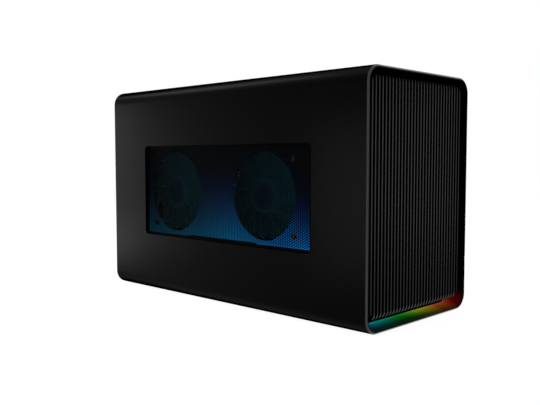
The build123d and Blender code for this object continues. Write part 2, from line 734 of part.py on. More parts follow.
def board_power_socket():
    place = Pos(board_notch_x() + TONGUE_W / 2, BOARD_FRONT + TONGUE_L - SOCKET_L, BOARD_TOP)
    half_w, half_l = SOCKET_W / 2, SOCKET_L / 2
    body = block(-half_w, half_w, -half_l, half_l, 0, SOCKET_H)
    mouth = block(SOCKET_LIP - half_w, half_w - SOCKET_LIP, SOCKET_LIP - half_l, half_l - SOCKET_LIP,
                  SOCKET_H - SOCKET_DEEP, SOCKET_H + OVER)
    return place * (body - mouth)


def shell_socket(width, height, length, mouths, deep):
    """A socket facing +Y about the origin: a block with one mouth or more, each with its tongue."""
    body = block(-width / 2, width / 2, -length, 0, 0, height)
    for z, mouth_w, mouth_h in mouths:
        tongue_w = mouth_w - 2 * TONGUE_T
        body -= block(-mouth_w / 2, mouth_w / 2, -deep, OVER, z - mouth_h / 2, z + mouth_h / 2)
        body += block(-tongue_w / 2, tongue_w / 2, -deep, -OVER, z, z + mouth_h / 4)
    return body


def host_port():
    """Flat socket for the computer's lead, rounded at both ends."""
    wall, radius = HOST_WALL, HOST_H / 2 - FIT_CLEAR
    body = prism_y(rounded(HOST_W, HOST_H, radius), -HOST_L, 0)
    mouth = rounded(HOST_W - 2 * wall, HOST_H - 2 * wall, radius - wall)
    tongue = block(-HOST_TONGUE_W / 2, HOST_TONGUE_W / 2, -HOST_L, -OVER, -wall, wall)
    place = Pos(HOST_X, PORT_FACE, BOARD_TOP + HOST_H / 2)
    return place * (body - prism_y(mouth, OVER - HOST_L, OVER) + tongue)


def network_port():
    """Network socket with the step that its plug's clip catches."""
    place = Pos(NETWORK_X, PORT_FACE, BOARD_TOP)
    body = block(-NETWORK_W / 2, NETWORK_W / 2, -NETWORK_L, 0, 0, NETWORK_H)
    z = NETWORK_H / 2 + NETWORK_MOUTH_RISE
    mouth = block(-NETWORK_MOUTH_W / 2, NETWORK_MOUTH_W / 2, -NETWORK_DEEP, OVER,
                  z - NETWORK_MOUTH_H / 2, z + NETWORK_MOUTH_H / 2)
    step = block(-NETWORK_MOUTH_W / 4, NETWORK_MOUTH_W / 4, -NETWORK_DEEP / 2, OVER,
                 z - NETWORK_MOUTH_H / 2 - NETWORK_STEP_H, z)
    return place * (body - mouth - step)


def data_ports():
    mouths = [(z, DATA_MOUTH_W, DATA_MOUTH_H) for z in DATA_MOUTH_Z]
    stack = shell_socket(DATA_W, DATA_H, DATA_L, mouths, DATA_DEEP)
    places = [Pos(DATA_X + DATA_STEP * index, PORT_FACE, BOARD_TOP) for index in range(DATA_STACKS)]
    return Compound([place * stack for place in places])


def port_cutouts():
    """Holes in the rear panel for the sockets of the riser board."""
    sizes = [(HOST_X, HOST_W, HOST_H), (NETWORK_X, NETWORK_W, NETWORK_H)]
    sizes += [(DATA_X + DATA_STEP * index, DATA_W, DATA_H) for index in range(DATA_STACKS)]
    grow = PORT_CLEAR
    return [block(x - w / 2 - grow, x + w / 2 + grow, PANEL_FRONT - OVER, PANEL_BACK + OVER,
                  BOARD_TOP - grow, BOARD_TOP + h + grow) for x, w, h in sizes]


def psu_screw_planes():
    inset = PSU_SCREW_INSET
    return [Plane((x, PANEL_BACK, z), z_dir=(0, 1, 0)) for x in (PSU_LEFT + inset, PSU_RIGHT - inset)
            for z in (PSU_BOTTOM + inset, PSU_TOP - inset)]


def rear_panel():
    """Rear sheet of the tray, with openings for the supply, the card slots and the sockets."""
    y0, y1 = PANEL_FRONT - OVER, PANEL_BACK + OVER
    panel = prism_y(sleeve_outline(WALL + PANEL_CLEAR), PANEL_FRONT, PANEL_BACK)
    edge = PSU_FRAME
    supply = block(PSU_LEFT + edge, PSU_RIGHT - edge, y0, y1, PSU_BOTTOM + edge, PSU_TOP - edge)
    low = BRACKET_BOTTOM + BAY_RISE
    bays = [block(x - BAY_W / 2, x + BAY_W / 2, y0, y1, low, low + BAY_H) for x in BAY_X]
    vents = Pos((PSU_LEFT - INNER_X) / 2, (BRACKET_BOTTOM + BRACKET_H + INNER_TOP) / 2)
    air = prism_y(vents * honeycomb(VENT_COLUMNS - 2, VENT_ROWS // 2, VENT_PITCH, VENT_BAR), y0, y1)
    screws = [plane * disc(SCREW_R + FIT_CLEAR, -OVER - PANEL_T, OVER)
              for plane in panel_screw_planes() + psu_screw_planes() + thumb_planes()]
    return panel - supply - bays - air - port_cutouts() - screws


def psu_case():
    """Steel case of the power supply, open on the fan's side."""
    outer = block(PSU_LEFT, PSU_RIGHT - PSU_WALL, PSU_FRONT, PSU_REAR, PSU_BOTTOM, PSU_TOP)
    hollow = block(PSU_LEFT + PSU_WALL, PSU_RIGHT, PSU_FRONT + PSU_WALL, PSU_REAR - PSU_WALL,
                   PSU_BOTTOM + PSU_WALL, PSU_TOP - PSU_WALL)
    y0, y1 = PSU_REAR - PSU_WALL - OVER, PSU_REAR + OVER
    vents = Pos((PSU_LEFT + PSU_RIGHT) / 2, PSU_TOP - VENT_DROP)
    air = prism_y(vents * honeycomb(VENT_COLUMNS, VENT_ROWS, VENT_PITCH, VENT_BAR), y0, y1)
    holes = [block(PSU_LEFT + x - w / 2 - FIT_CLEAR, PSU_LEFT + x + w / 2 + FIT_CLEAR, y0, y1,
                   INLET_Z - h / 2 - FIT_CLEAR, INLET_Z + h / 2 + FIT_CLEAR)
             for x, w, h in ((INLET_X, INLET_W, INLET_H), (SWITCH_X, SWITCH_W, SWITCH_H))]
    screws = [plane * disc(SCREW_R + RUN_CLEAR, -SCREW_BITE, 0) for plane in psu_screw_planes()]
    return outer - hollow - air - holes - screws


def psu_cover():
    """Side cover of the power supply, with air holes for its fan."""
    air = Pos(PSU_MID_Y, PSU_MID_Z) * fan_grid()
    cover = block(PSU_RIGHT - PSU_WALL, PSU_RIGHT, PSU_FRONT, PSU_REAR, PSU_BOTTOM, PSU_TOP)
    return cover - prism_x(air, PSU_RIGHT - PSU_WALL - OVER, PSU_RIGHT + OVER)


def psu_screws():
    return Compound([screw(plane, SCREW_BITE) for plane in psu_screw_planes()])


def psu_inlet():
    """Mains inlet with three blades, in a flanged body."""
    x, rim = PSU_LEFT + INLET_X, INLET_RIM
    face = PSU_REAR + rim
    body = prism_y(rounded(INLET_W, INLET_H, rim, x, INLET_Z), PSU_REAR - INLET_L, face)
    flange = prism_y(rounded(INLET_W + 2 * rim, INLET_H + 2 * rim, rim, x, INLET_Z), PSU_REAR, face)
    mouth = prism_y(rounded(INLET_MOUTH_W, INLET_MOUTH_H, rim, x, INLET_Z), face - INLET_DEEP, face + OVER)
    pins = []
    for step, rise in ((-1, -1), (0, 1), (1, -1)):
        u, v = x + step * INLET_PIN_STEP, INLET_Z + rise * INLET_PIN_RISE
        pins.append(block(u - INLET_PIN_W / 2, u + INLET_PIN_W / 2, face - INLET_DEEP - OVER,
                          face - INLET_DEEP + INLET_PIN_L, v - INLET_PIN_H / 2, v + INLET_PIN_H / 2))
    return body + flange - mouth + pins


def rocker_axis():
    """Y and Z of the mains switch's pivot."""
    return PSU_REAR + SWITCH_RIM - ROCKER_PIVOT, INLET_Z


def psu_switch_frame():
    x, rim, half = PSU_LEFT + SWITCH_X, SWITCH_RIM, SWITCH_W / 2
    face = PSU_REAR + rim
    low, high = INLET_Z - SWITCH_H / 2, INLET_Z + SWITCH_H / 2
    body = block(x - half, x + half, PSU_REAR - SWITCH_L, face, low, high)
    flange = prism_y(rounded(SWITCH_W + 2 * rim, SWITCH_H + 2 * rim, rim, x, INLET_Z), PSU_REAR, face)
    mouth = block(x - SWITCH_MOUTH_W / 2, x + SWITCH_MOUTH_W / 2, face - SWITCH_DEEP, face + OVER,
                  INLET_Z - SWITCH_MOUTH_H / 2, INLET_Z + SWITCH_MOUTH_H / 2)
    hole = Pos(*rocker_axis()) * Circle(ROCKER_PIN_R + RUN_CLEAR)
    bore = prism_x(hole, x - half - OVER, x + half + OVER)
    return body + flange - mouth - bore


def psu_rocker():
    """Rocker of the mains switch, tilted to one of its two positions."""
    x, (y, z) = PSU_LEFT + SWITCH_X, rocker_axis()
    half = SWITCH_MOUTH_W / 2 - SIDE_CLEAR
    outline = [(ROCKER_TOP, -ROCKER_HALF), (ROCKER_WAIST, 0), (ROCKER_TOP, ROCKER_HALF), (0, ROCKER_HALF),
               (-ROCKER_KEEL, ROCKER_KEEL), (-ROCKER_KEEL, -ROCKER_KEEL), (0, -ROCKER_HALF)]
    key = prism_x(make_face(Polyline(*outline, close=True)), -half, half)
    pin = prism_x(Circle(ROCKER_PIN_R), -SWITCH_W / 2, SWITCH_W / 2)
    return Pos(x, y, z) * Rot(-ROCKER_TILT, 0, 0) * (key + pin)


def psu_circuit():
    """Circuit board of the power supply on four pillars, with its coils and capacitors."""
    wall = PSU_LEFT + PSU_WALL
    x = wall + CIRCUIT_FOOT
    y0, y1 = PSU_FRONT + CIRCUIT_FRONT_GAP, PSU_REAR - INLET_L - CIRCUIT_FOOT
    z0, z1 = PSU_BOTTOM + CIRCUIT_EDGE, PSU_TOP - CIRCUIT_EDGE
    pieces = [block(wall, x, y, y + PILLAR_W, z, z + PILLAR_W) for y in (y0, y1 - PILLAR_W)
              for z in (z0, z1 - PILLAR_W)]
    for y, z in COIL_SPOTS:
        pieces.append(block(x, x + COIL_RISE, y0 + y, y0 + y + COIL_L, z0 + z, z0 + z + COIL_H))
    for y, z in CAN_SPOTS:
        pieces.append(prism_x(Pos(y0 + y, z0 + z) * Circle(CAN_R), x, x + CAN_RISE))
    return block(x, x + BOARD_T, y0, y1, z0, z1) + pieces


def psu_cradle():
    """Bridge on the shelf that the power supply stands on."""
    x0, x1 = PSU_LEFT + CRADLE_SIDE_GAP, SHELF_HALF - CRADLE_SIDE_GAP
    y0, y1 = CRADLE_Y - CRADLE_L / 2, CRADLE_Y + CRADLE_L / 2
    top = block(x0, x1, y0, y1, PSU_BOTTOM - SHEET, PSU_BOTTOM)
    return top + [block(x0, x1, y, y + SHEET, SHELF_TOP, PSU_BOTTOM) for y in (y0, y1 - SHEET)]


def blade(fan):
    """One twisted blade, lofted from the hub's wall to the tip."""
    root = (fan.hub_r - fan.cup_t * BLADE_ROOT, fan.root_chord, fan.root_pitch, 0.0)
    tip = (fan.tip_r, fan.tip_chord, fan.tip_pitch, fan.skew)
    middle = [(low + high) / 2 for low, high in zip(root, tip)]
    sections = []
    for radius, chord, pitch, lead in (root, middle, tip):
        radial = (cos(radians(lead)), sin(radians(lead)), 0)
        across = (-radial[1], radial[0], 0)
        plane = Plane((radius * radial[0], radius * radial[1], fan.cup_h / 2), x_dir=across, z_dir=radial)
        sections.append(plane * Rot(0, 0, pitch) * Rectangle(chord, fan.blade_t))
    return loft(sections)


def rotor(fan):
    """Hub cup with blades and shaft about Z, open side down at Z = 0."""
    tip = disc(fan.tip_r, -fan.cup_h, 2 * fan.cup_h)
    blades = [Rot(0, 0, 360 / fan.blades * index) * (blade(fan) & tip) for index in range(fan.blades)]
    cup = disc(fan.hub_r, 0, fan.cup_h) - disc(fan.hub_r - fan.cup_t, -OVER, fan.cup_h - fan.cap_t)
    dish = disc(fan.dish_r, fan.cup_h - fan.dish_t, fan.cup_h + OVER)
    return cup - dish + blades + disc(fan.shaft_r, -fan.base_gap - fan.base_t, fan.cup_h - fan.cap_t / 2)


def motor_base(fan):
    """Fixed disc and bearing tube under a rotor."""
    low = -fan.base_gap - fan.base_t
    body = disc(fan.hub_r, low, -fan.base_gap) + disc(fan.tube_r, low, fan.cup_h - fan.cap_t - TUBE_GAP)
    return body - disc(fan.shaft_r + RUN_CLEAR, low - OVER, fan.cup_h + OVER)


def square_fan_frame():
    """Square fan frame about Z with its motor base and struts on the low side."""
    fan = SQUARE_FAN
    low = -fan.base_gap - fan.base_t
    high = low + FAN_DEPTH
    bore_r = fan.tip_r + FAN_BORE_GAP
    frame = prism_z(rounded(FAN_SIDE, FAN_SIDE, FAN_CORNER_R), low, high)
    bore = disc(bore_r, low - OVER, high + OVER)
    holes = [Pos(u, v, 0) * disc(FAN_HOLE_R, low - OVER, high + OVER) for u, v in fan_hole_spots()]
    strut = block(fan.hub_r / 2, bore_r + OVER, -STRUT_W / 2, STRUT_W / 2, low, -fan.base_gap)
    struts = [Rot(0, 0, 360 / STRUT_COUNT * index) * strut for index in range(STRUT_COUNT)]
    return frame - bore - holes + (motor_base(fan) + struts)


def front_fan_plane():
    drop = SQUARE_FAN.base_gap + SQUARE_FAN.base_t
    return Plane((0, BULKHEAD_FRONT - drop, MID_Z), x_dir=(1, 0, 0), z_dir=(0, -1, 0))


def psu_fan_plane():
    rise = FAN_DEPTH - SQUARE_FAN.base_gap - SQUARE_FAN.base_t
    return Plane((PSU_RIGHT - PSU_WALL - rise, PSU_MID_Y, PSU_MID_Z), x_dir=(0, 1, 0), z_dir=(1, 0, 0))


def card_fan_plane(y):
    return Plane((CARD_FAN_X, y, FAN_Z), x_dir=(0, 1, 0), z_dir=(-1, 0, 0))


def card_fan_base(y, turn):
    """Three-armed motor base that hangs a card fan behind the shroud's face."""
    fan = CARD_FAN
    low = -fan.base_gap - fan.base_t
    face = CARD_FAN_X - SHROUD_INNER
    arm = block(fan.hub_r / 2, CARD_ARM_R, -CARD_ARM_W / 2, CARD_ARM_W / 2, low, -fan.base_gap)
    pad = Pos(CARD_ARM_R, 0, 0) * disc(CARD_PAD_R, low, face)
    step = 360 / CARD_ARM_COUNT
    arms = [Rot(0, 0, turn + step * index) * (arm + pad) for index in range(CARD_ARM_COUNT)]
    return card_fan_plane(y) * (motor_base(fan) + arms)


def shroud_outline(inset):
    """Side view of the shroud, with the notch in its lower edge."""
    middle = SHROUD_FRONT + SHROUD_L / 2
    plate = rounded(SHROUD_L - 2 * inset, SHROUD_H - 2 * inset, SHROUD_R - inset, middle, FAN_Z)
    top = SHROUD_BOTTOM + NOTCH_H + inset
    notch = Rectangle(NOTCH_L + 2 * inset, 2 * NOTCH_H)
    return plate - Pos(NOTCH_FRONT + NOTCH_L / 2, top - NOTCH_H) * notch


def shroud_post_planes():
    """Heads of the four shroud screws, on the shroud's face."""
    half = POST_SPAN_H / 2
    return [Plane((CARD_FACE, y, FAN_Z + z), z_dir=(-1, 0, 0)) for y in POST_Y for z in (-half, half)]


def card_shroud():
    """Cover of the card: a face with two fan openings and a wall around it."""
    open_r = CARD_FAN.tip_r + CARD_FAN_GAP
    wall = prism_x(shroud_outline(0), CARD_FACE, CARD_FACE + SHROUD_DEPTH)
    hollow = prism_x(shroud_outline(SHROUD_WALL), SHROUD_INNER, CARD_FACE + SHROUD_DEPTH + OVER)
    edge = CARD_FACE - LIP_H
    spots = [Pos(y, FAN_Z) for y in CARD_FAN_Y]
    lips = [prism_x(spot * Circle(open_r + LIP_W), edge, SHROUD_INNER) for spot in spots]
    openings = [prism_x(spot * Circle(open_r), edge - OVER, SHROUD_INNER + OVER) for spot in spots]
    holes = [plane * disc(SCREW_R + FIT_CLEAR, -OVER - SHROUD_T, OVER) for plane in shroud_post_planes()]
    return wall - hollow + lips - openings - holes


def shroud_screws():
    return Compound([screw(plane, SCREW_BITE + SHROUD_T) for plane in shroud_post_planes()])


def card_heatsink():
    """Finned cooler behind the fans, with posts for the shroud screws."""
    mid_y = (COOLER_FINS - 1) * COOLER_PITCH / 2
    start = SHROUD_FRONT + SHROUD_L / 2 - mid_y
    low, high = FAN_Z - COOLER_H / 2, FAN_Z + COOLER_H / 2
    base = block(COOLER_BACK - COOLER_BASE_T, COOLER_BACK, start, start + 2 * mid_y, low, high)
    stack = []
    for index in range(COOLER_FINS):
        y = start + COOLER_PITCH * index
        stack.append(block(COOLER_FACE, COOLER_BACK, y - COOLER_FIN_T / 2, y + COOLER_FIN_T / 2, low, high))
    chip_x, half = COOLER_BACK - COOLER_BASE_T / 2, CHIP_W / 2
    chip = block(chip_x, CARD_PART, SLOT_Y - CHIP_W, SLOT_Y, FAN_Z - half, FAN_Z + half)
    post = disc(POST_R, CARD_FACE - COOLER_BACK, -SHROUD_T)
    hole = disc(SCREW_R + RUN_CLEAR, -SCREW_BITE - SHROUD_T - OVER, 0)
    planes = shroud_post_planes()
    return base + stack + chip + [plane * post for plane in planes] - [plane * hole for plane in planes]


def card_board():
    """Circuit board of the card, with its edge contacts in the slot."""
    y0, y1 = slot_ends()
    board = block(CARD_PART, CARD_BACK, CARD_FRONT, BRACKET_FRONT, CARD_BOTTOM, CARD_TOP)
    tongue = block(CARD_PART, CARD_BACK, y0 + FINGER_END, y1 - FINGER_END,
                   BOARD_TOP + SLOT_FLOOR + FINGER_GAP, CARD_BOTTOM)
    notch_w = KEY_W / 2 + FIT_CLEAR
    notch = block(CARD_PART - OVER, CARD_BACK + OVER, y1 - KEY_Y - notch_w, y1 - KEY_Y + notch_w,
                  BOARD_TOP, BOARD_TOP + SLOT_H + FIT_CLEAR)
    return board + tongue - notch


def card_backplate():
    x = CARD_BACK + BACKPLATE_GAP
    y0, y1 = CARD_FRONT + BACKPLATE_INSET, SHROUD_REAR
    z0, z1 = CARD_BOTTOM + BACKPLATE_INSET, CARD_TOP - BACKPLATE_INSET
    plate = block(x, x + BACKPLATE_T, y0, y1, z0, z1)
    inset = 2 * POST_R
    spacers = [prism_x(Pos(y, z) * Circle(POST_R), CARD_BACK, x) for y in (y0 + inset, y1 - inset)
               for z in (z0 + inset, z1 - inset)]
    return plate + spacers


def thumb_planes():
    return [Plane((x, PANEL_BACK, THUMB_Z), z_dir=(0, 1, 0)) for x in BAY_X]


def display_spots():
    x = CARD_PART - DISPLAY_W / 2
    return [(x, CARD_BOTTOM + DISPLAY_RISE + DISPLAY_STEP * index) for index in range(DISPLAY_COUNT)]


def display_ports():
    """Picture sockets on the card, standing on edge."""
    mouths = [(DISPLAY_W / 2, DISPLAY_MOUTH_H, DISPLAY_MOUTH_W)]
    flat = shell_socket(DISPLAY_H, DISPLAY_W, DISPLAY_L, mouths, DISPLAY_DEEP)
    port = Rot(0, 90, 0) * Pos(0, 0, -DISPLAY_W / 2) * flat
    return Compound([Pos(x, PORT_FACE, z) * port for x, z in display_spots()])


def bracket_plate(x0, x1):
    """A slot plate behind the rear panel, with its thumbscrew holes."""
    plate = block(x0, x1, BRACKET_FRONT, PANEL_FRONT, BRACKET_BOTTOM, BRACKET_BOTTOM + BRACKET_H)
    return plate - [plane * disc(SCREW_R + RUN_CLEAR, -SCREW_BITE, 0) for plane in thumb_planes()]


def card_bracket():
    half_w, half_h = DISPLAY_W / 2 + PORT_CLEAR, DISPLAY_H / 2 + PORT_CLEAR
    y0, y1 = BRACKET_FRONT - OVER, PANEL_FRONT + OVER
    ports = [block(x - half_w, x + half_w, y0, y1, z - half_h, z + half_h) for x, z in display_spots()]
    return bracket_plate(BAY_X[1] - BRACKET_EDGE, BAY_X[0] + BRACKET_EDGE) - ports


def slot_cover():
    return bracket_plate(BAY_X[2] - BRACKET_EDGE, BAY_X[2] + BRACKET_EDGE)


def bracket_thumbscrews():
    bite = PANEL_T + BRACKET_T + THUMB_TIP
    return Compound([screw(plane, bite, SCREW_R, THUMB_R, THUMB_H) for plane in thumb_planes()])


def card_power_socket():
    x0 = CARD_PART - CARD_SOCKET_W
    z = CARD_TOP - CARD_SOCKET_LAP
    y0, y1 = CARD_SOCKET_Y - CARD_SOCKET_L / 2, CARD_SOCKET_Y + CARD_SOCKET_L / 2
    mouth = block(x0 + SOCKET_LIP, CARD_PART - SOCKET_LIP, y0 + SOCKET_LIP, y1 - SOCKET_LIP,
                  z + CARD_SOCKET_H - SOCKET_DEEP, z + CARD_SOCKET_H + OVER)
    return block(x0, CARD_PART, y0, y1, z, z + CARD_SOCKET_H) - mouth


def handle_bracket(side):
    """Lug on the rear panel that holds one handle pivot."""
    spot, x1, half = Pos(HANDLE_Y, HANDLE_Z), LUG_X + LUG_T, LUG_BASE_H / 2
    lug = prism_x(spot * Circle(LUG_R), LUG_X, x1)
    lug += block(LUG_X, x1, PANEL_BACK, HANDLE_Y, HANDLE_Z - LUG_R, HANDLE_Z + LUG_R)
    base = block(LUG_X, LUG_X + LUG_BASE_W, PANEL_BACK, PANEL_BACK + SHEET,
                 HANDLE_Z - half, HANDLE_Z + half)
    bore = prism_x(spot * Circle(PIN_R + PRESS_CLEAR), LUG_X - OVER, x1 + OVER)
    bracket = lug + base - bore
    return bracket if side == RIGHT else mirror(bracket, Plane.YZ)


def pull_handle():
    """Bail that hangs on two pivots at the bottom of the rear panel."""
    low = HANDLE_Z - HANDLE_DROP
    points = [(-HANDLE_HALF, HANDLE_Y, HANDLE_Z), (-HANDLE_HALF, HANDLE_Y, low),
              (HANDLE_HALF, HANDLE_Y, low), (HANDLE_HALF, HANDLE_Y, HANDLE_Z)]
    section = Plane(points[0], z_dir=(0, 0, -1)) * Circle(HANDLE_R)
    bail = sweep(section, FilletPolyline(*points, radius=HANDLE_BEND))
    for x in (-HANDLE_HALF, HANDLE_HALF):
        bail += prism_x(Pos(HANDLE_Y, HANDLE_Z) * Circle(EYE_R), x - EYE_W / 2, x + EYE_W / 2)
    return bail - prism_x(Pos(HANDLE_Y, HANDLE_Z) * Circle(PIN_R + RUN_CLEAR), -SIDE, SIDE)


def handle_pins():
    x0, x1 = HANDLE_HALF - EYE_W / 2, LUG_X + LUG_T
    spot = Pos(HANDLE_Y, HANDLE_Z)
    pin = prism_x(spot * Circle(PIN_R), x0, x1) + prism_x(spot * Circle(PIN_HEAD_R), x1, x1 + PIN_HEAD_H)
    return Compound([pin, mirror(pin, Plane.YZ)])


NODES = {
    "outer_sleeve": outer_sleeve(),
    "left_mesh": mesh_panel(LEFT),
    "right_mesh": mesh_panel(RIGHT),
    "front_grille": front_grille(),
    "light_guide": light_guide(),
    "light_board": light_board(),
    "foot_left": foot(LEFT),
    "foot_right": foot(RIGHT),
    "runner_left": runner(LEFT),
    "runner_right": runner(RIGHT),
    "tray_floor": tray_floor(),
    "panel_screws": panel_screws(),
    "side_light_strip": side_light_strip(),
    "front_bulkhead": front_bulkhead(),
    "front_fan_screws": front_fan_screws(),
    "front_fan_frame": front_fan_plane() * square_fan_frame(),
    "front_fan_rotor": front_fan_plane() * rotor(SQUARE_FAN),
    "board_shelf": board_shelf(),
    "main_board": main_board(),
    "board_standoffs": board_standoffs(),
    "board_screws": board_screws(),
    "card_slot": card_slot(),
    "slot_latch": slot_latch(),
    "controller_heatsink": controller_heatsink(),
    "board_power_socket": board_power_socket(),
    "host_port": host_port(),
    "network_port": network_port(),
    "data_ports": data_ports(),
    "rear_panel": rear_panel(),
    "psu_case": psu_case(),
    "psu_cover": psu_cover(),
    "psu_screws": psu_screws(),
    "psu_inlet": psu_inlet(),
    "psu_switch_frame": psu_switch_frame(),
    "psu_rocker": psu_rocker(),
    "psu_circuit": psu_circuit(),
    "psu_cradle": psu_cradle(),
    "psu_fan_frame": psu_fan_plane() * square_fan_frame(),
    "psu_fan_rotor": psu_fan_plane() * rotor(SQUARE_FAN),
    "card_shroud": card_shroud(),
    "shroud_screws": shroud_screws(),
    "card_fan_base_rear": card_fan_base(CARD_FAN_Y[0], 0),
    "card_fan_base_front": card_fan_base(CARD_FAN_Y[1], 180),
    "card_fan_rear": card_fan_plane(CARD_FAN_Y[0]) * rotor(CARD_FAN),
    "card_fan_front": card_fan_plane(CARD_FAN_Y[1]) * rotor(CARD_FAN),
    "card_heatsink": card_heatsink(),
    "card_board": card_board(),
    "card_backplate": card_backplate(),
    "card_bracket": card_bracket(),
    "slot_cover": slot_cover(),
    "bracket_thumbscrews": bracket_thumbscrews(),
    "display_ports": display_ports(),
    "card_power_socket": card_power_socket(),
    "handle_bracket_left": handle_bracket(LEFT),
    "handle_bracket_right": handle_bracket(RIGHT),
    "pull_handle": pull_handle(),
    "handle_pins": handle_pins(),
}

os.makedirs("parts", exist_ok=True)
for name, shape in NODES.items():
    export_step(shape, f"parts/{name}.step")
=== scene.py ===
"""Looks of the external graphics card enclosure: finishes, coloured light, window mesh, studio and camera.

Lengths are metres in the part's frame: +X right, +Y to the rear, +Z up, and z = 0 on the floor.
"""

import json
import math
from dataclasses import dataclass, replace

import bpy
from mathutils import Matrix, Vector


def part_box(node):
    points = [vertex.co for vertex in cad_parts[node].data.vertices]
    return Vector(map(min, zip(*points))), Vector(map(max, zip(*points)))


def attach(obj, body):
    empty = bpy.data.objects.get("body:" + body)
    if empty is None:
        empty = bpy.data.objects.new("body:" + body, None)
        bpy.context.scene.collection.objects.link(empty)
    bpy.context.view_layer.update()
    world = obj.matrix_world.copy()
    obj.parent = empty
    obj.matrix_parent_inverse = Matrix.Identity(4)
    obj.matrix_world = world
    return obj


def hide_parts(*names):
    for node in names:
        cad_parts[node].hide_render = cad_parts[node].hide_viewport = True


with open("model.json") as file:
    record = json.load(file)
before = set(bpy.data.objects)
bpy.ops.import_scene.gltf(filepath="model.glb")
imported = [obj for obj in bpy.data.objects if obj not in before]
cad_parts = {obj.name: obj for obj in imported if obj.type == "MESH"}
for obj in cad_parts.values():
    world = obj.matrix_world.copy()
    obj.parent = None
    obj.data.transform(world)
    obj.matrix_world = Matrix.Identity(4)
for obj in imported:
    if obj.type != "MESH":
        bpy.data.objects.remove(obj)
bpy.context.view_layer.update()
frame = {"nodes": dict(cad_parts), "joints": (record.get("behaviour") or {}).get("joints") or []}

MM = 0.001
WHITE = (1.0, 1.0, 1.0, 1.0)
SQUARE = ((-1, -1), (1, -1), (1, 1), (-1, 1))


class Graph:
    """The node tree of a material or world, with short calls to add and join nodes."""

    def __init__(self, owner):
        owner.use_nodes = True
        self.nodes = owner.node_tree.nodes
        self.links = owner.node_tree.links
        self.nodes.clear()

    def add(self, kind, inputs=(), **options):
        """A new node. inputs maps sockets, by name or number, to a value or to another node's output."""
        node = self.nodes.new(kind)
        for name, value in options.items():
            setattr(node, name, value)
        for key, value in dict(inputs).items():
            self.feed(node.inputs[key], value)
        return node

    def feed(self, socket, value):
        """Joins an output to the socket, or sets the socket to a plain value."""
        if isinstance(value, bpy.types.NodeSocket):
            self.links.new(value, socket)
        else:
            socket.default_value = value

    def coordinates(self, kind="Object"):
        """The point's place in the part's frame, or, of kind Normal, the direction that it faces."""
        return self.add("ShaderNodeTexCoord").outputs[kind]

    def axes(self, kind="Object"):
        """The X, Y and Z of the coordinates as three outputs."""
        return self.add("ShaderNodeSeparateXYZ", {0: self.coordinates(kind)}).outputs

    def noise(self, scale, stretch=(1.0, 1.0, 1.0)):
        """Noise from 0 to 1, with scale in cells per metre, stretched along the axes."""
        mapping = self.add("ShaderNodeMapping", {"Vector": self.coordinates(), "Scale": stretch})
        return self.add("ShaderNodeTexNoise", {"Vector": mapping.outputs[0], "Scale": scale}).outputs[0]

    def remap(self, value, low, high, to_low=0.0, to_high=1.0):
        """The value taken from one range to another, and held at the ends of the second."""
        inputs = {0: value, 1: low, 2: high, 3: to_low, 4: to_high}
        return self.add("ShaderNodeMapRange", inputs).outputs[0]

    def calc(self, operation, *values):
        """The result of a Math node."""
        return self.add("ShaderNodeMath", dict(enumerate(values)), operation=operation).outputs[0]

    def product(self, first, *others):
        for other in others:
            first = self.calc("MULTIPLY", first, other)
        return first

    def scaled(self, vector, factor):
        return self.add("ShaderNodeVectorMath", {0: vector, "Scale": factor}, operation="SCALE").outputs[0]

    def multiply_add(self, vector, factor, offset):
        """vector times factor plus offset, each channel by itself."""
        inputs = {0: vector, 1: factor, 2: offset}
        return self.add("ShaderNodeVectorMath", inputs, operation="MULTIPLY_ADD").outputs[0]

    def ramp(self, value, stops):
        """Colours along value, given as (position, linear colour) stops."""
        node = self.add("ShaderNodeValToRGB", {0: value})
        points = node.color_ramp.elements
        while len(points) < len(stops):
            points.new(1.0)
        for point, (position, colour) in zip(points, stops):
            point.position = position
            point.color = (*colour, 1.0)
        return node.outputs[0]


@dataclass(frozen=True)
class Finish:
    """A surface: linear colour, gloss and a fine grain that moves colour, roughness and relief.

    fade is a loss of gloss between two facing values, 0 for head-on and 1 for edge-on: painted shade that
    darkens the outlines.
    cut_edge is extra gloss on the sleeve's front chamfer.
    """

    colour: tuple
    roughness: float
    metallic: float = 0.0
    specular: float = 0.5
    grain: float = 900.0             # cells per metre
    stretch: tuple = (1.0, 1.0, 1.0)
    vary: float = 0.15               # share by which the grain moves colour and roughness
    relief: float = 0.02 * MM
    fade: tuple = ()
    cut_edge: float = 0.0


def grey(level):
    return (level, level, level)


